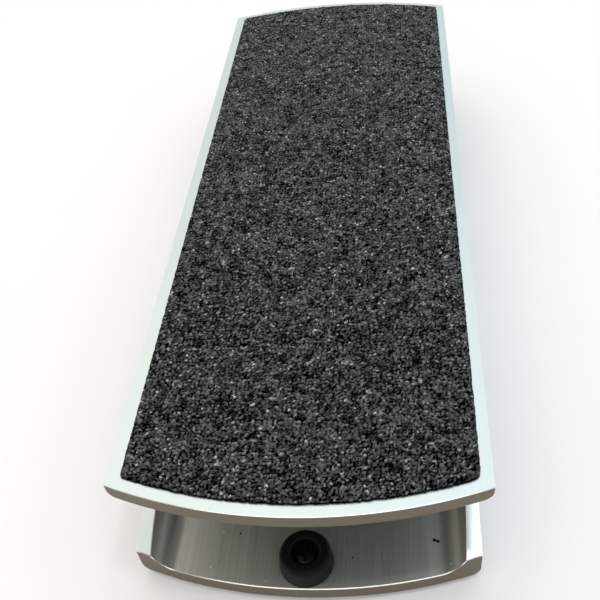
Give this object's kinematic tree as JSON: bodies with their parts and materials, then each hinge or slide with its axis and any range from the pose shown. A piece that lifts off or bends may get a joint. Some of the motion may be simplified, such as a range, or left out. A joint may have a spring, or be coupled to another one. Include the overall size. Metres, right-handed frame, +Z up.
{
  "type": "volume pedal",
  "caption": "Low rocking-treadle volume pedal: channel base, grit-covered tilting plate, rubber stops and a cord-driven potentiometer between two side jack sockets.",
  "frame": {"origin": "on the ground below the treadle pivot, at the middle of the pedal's length and width", "axes": "+Y from the heel end to the toe end, +X to the player's right, +Z up"},
  "size_m": [0.0936, 0.2572, 0.0445],
  "materials": {
    "satin_aluminium": "satin brushed, clear",
    "grit_sheet": "coarse black mineral grit",
    "black_rubber": "matte moulded",
    "zinc_steel": "zinc plated",
    "black_steel": "black oxide",
    "nickel_plate": "nickel plated",
    "brass": "turned",
    "nylon": "natural white",
    "phenolic": "laminate",
    "drive_cord": "braided",
    "red_insulation": "wire insulation",
    "black_insulation": "wire insulation"
  },
  "bodies": {
    "base": {"base_channel": "satin_aluminium", "foot_heel_left": "black_rubber", "foot_heel_right": "black_rubber", "foot_toe_left": "black_rubber", "foot_toe_right": "black_rubber", "heel_bumper": "black_rubber", "heel_bumper_screw": "black_steel", "input_ground_wire": "black_insulation", "input_hot_wire": "red_insulation", "input_jack_frame": "nickel_plate", "input_jack_insulator": "phenolic", "input_jack_nut": "nickel_plate", "input_jack_tip_spring": "nickel_plate", "input_jack_washer": "nickel_plate", "output_ground_wire": "black_insulation", "output_hot_wire": "red_insulation", "output_jack_frame": "nickel_plate", "output_jack_insulator": "phenolic", "output_jack_nut": "nickel_plate", "output_jack_tip_spring": "nickel_plate", "output_jack_washer": "nickel_plate", "pivot_screw_left": "zinc_steel", "pivot_screw_right": "zinc_steel", "pot_bracket": "zinc_steel", "pot_bracket_screw_heel": "zinc_steel", "pot_bracket_screw_toe": "zinc_steel", "pot_bushing": "brass", "pot_can": "zinc_steel", "pot_lug_ground": "nickel_plate", "pot_lug_hot": "nickel_plate", "pot_lug_wiper": "nickel_plate", "pot_nut": "brass", "pot_wafer": "phenolic", "pot_washer": "zinc_steel", "toe_bumper": "black_rubber", "toe_bumper_screw": "black_steel"},
    "treadle": {"bracket_screw_heel_left": "zinc_steel", "bracket_screw_heel_right": "zinc_steel", "bracket_screw_toe_left": "zinc_steel", "bracket_screw_toe_right": "zinc_steel", "cord_anchor_screw_heel": "zinc_steel", "cord_anchor_screw_toe": "zinc_steel", "drive_cord_heel_run": "drive_cord", "drive_cord_toe_run": "drive_cord", "grip_sheet": "grit_sheet", "pivot_bracket_left": "satin_aluminium", "pivot_bracket_right": "satin_aluminium", "pivot_bush_left": "nylon", "pivot_bush_right": "nylon", "tension_spring": "zinc_steel", "treadle_plate": "satin_aluminium"},
    "pot_rotor": {"cord_pulley": "brass", "drive_cord_wrap": "drive_cord", "pot_shaft": "brass"}
  },
  "joints": [
    {"name": "treadle_tilt", "type": "hinge", "parent": "base", "child": "treadle", "pos_m": [0, 0, 0.016], "axis": [1, 0, 0], "range_deg": [-12.4, 9.2]},
    {"name": "pot_turn", "type": "hinge", "parent": "base", "child": "pot_rotor", "pos_m": [0, 0, 0.026], "axis": [1, 0, 0], "range_deg": [-39.4, 29.6]}
  ],
  "couplings": [
    {"joint": "pot_turn", "follows": "treadle_tilt", "ratio": 3.149}
  ]
}
